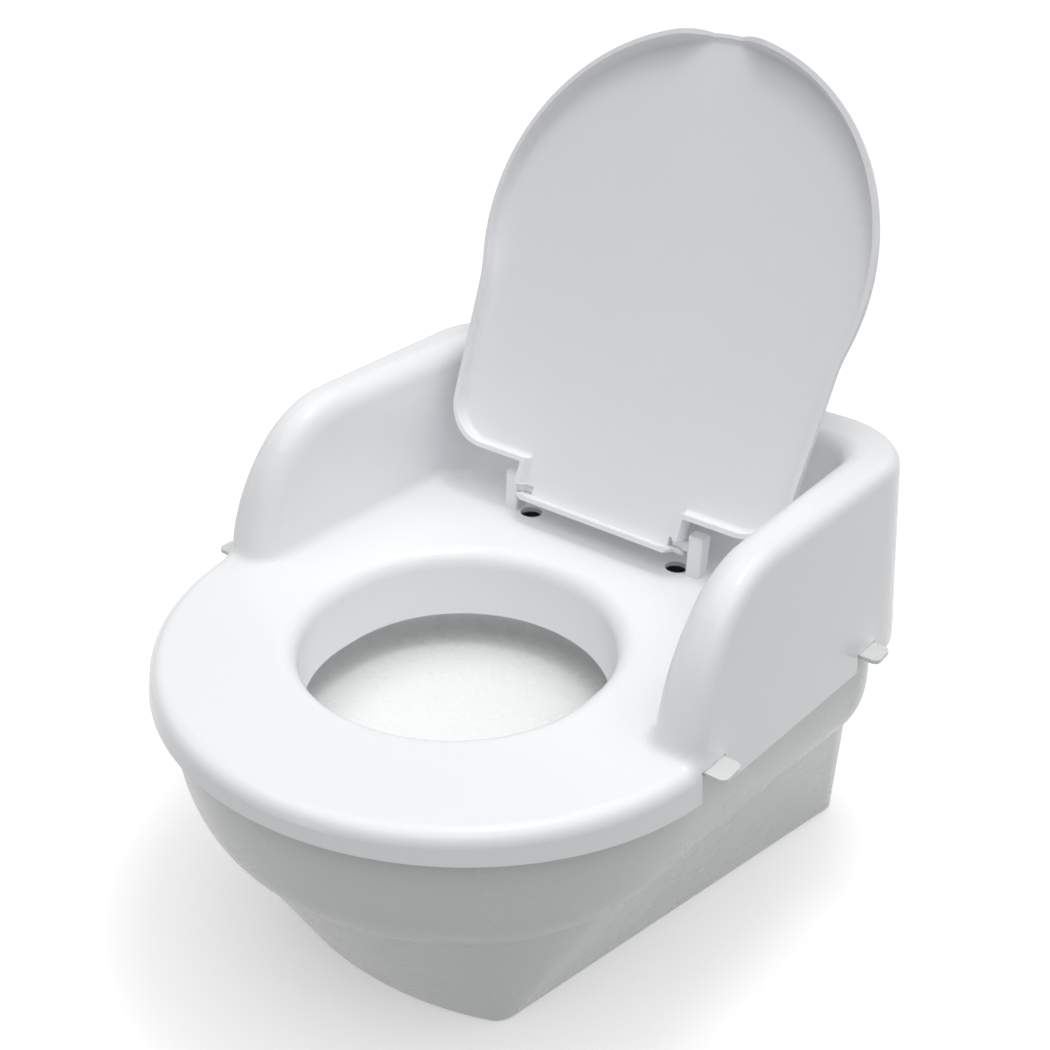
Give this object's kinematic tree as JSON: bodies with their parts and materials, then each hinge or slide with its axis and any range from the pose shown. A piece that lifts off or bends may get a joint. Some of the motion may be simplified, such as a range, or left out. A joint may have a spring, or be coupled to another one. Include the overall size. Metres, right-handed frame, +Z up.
{
  "type": "potty training chair",
  "caption": "Child's floor-standing training potty with an oval seat opening, armrests, a low back wall, a hinged lid and a lift-out bowl in a pedestal base.",
  "frame": {"origin": "middle of the object's footprint box, on the floor", "axes": "+X to the right as seen from the front, -Y towards the front edge of the seat, +Z up"},
  "size_m": [0.333, 0.3683, 0.4312],
  "materials": {
    "seat_plastic": "glossy moulded polypropylene, cool white",
    "lid_plastic": "glossy moulded polypropylene, satin underside",
    "bowl_plastic": "glossy moulded polypropylene, neutral white",
    "base_plastic": "glossy moulded polypropylene, slightly green white",
    "pad_rubber": "matte grey rubber"
  },
  "bodies": {
    "base": {"base_shell": "base_plastic", "foot_pad_front_left": "pad_rubber", "foot_pad_front_right": "pad_rubber", "foot_pad_rear_left": "pad_rubber", "foot_pad_rear_right": "pad_rubber"},
    "seat": {"seat_shell": "seat_plastic"},
    "bowl": {"potty_bowl": "bowl_plastic"},
    "lid": {"lid": "lid_plastic"}
  },
  "joints": [
    {"name": "seat_lift", "type": "slide", "parent": "base", "child": "seat", "axis": [0, 0, 1], "range_m": [0, 0.24]},
    {"name": "bowl_lift", "type": "slide", "parent": "base", "child": "bowl", "axis": [0, 0, 1], "range_m": [0, 0.12]},
    {"name": "lid_hinge", "type": "hinge", "parent": "seat", "child": "lid", "pos_m": [0, 0.0918, 0.1849], "axis": [1, 0, 0], "range_deg": [0, 111.8]}
  ],
  "couplings": [
    {"joint": "bowl_lift", "follows": "seat_lift", "ratio": 0.5}
  ]
}
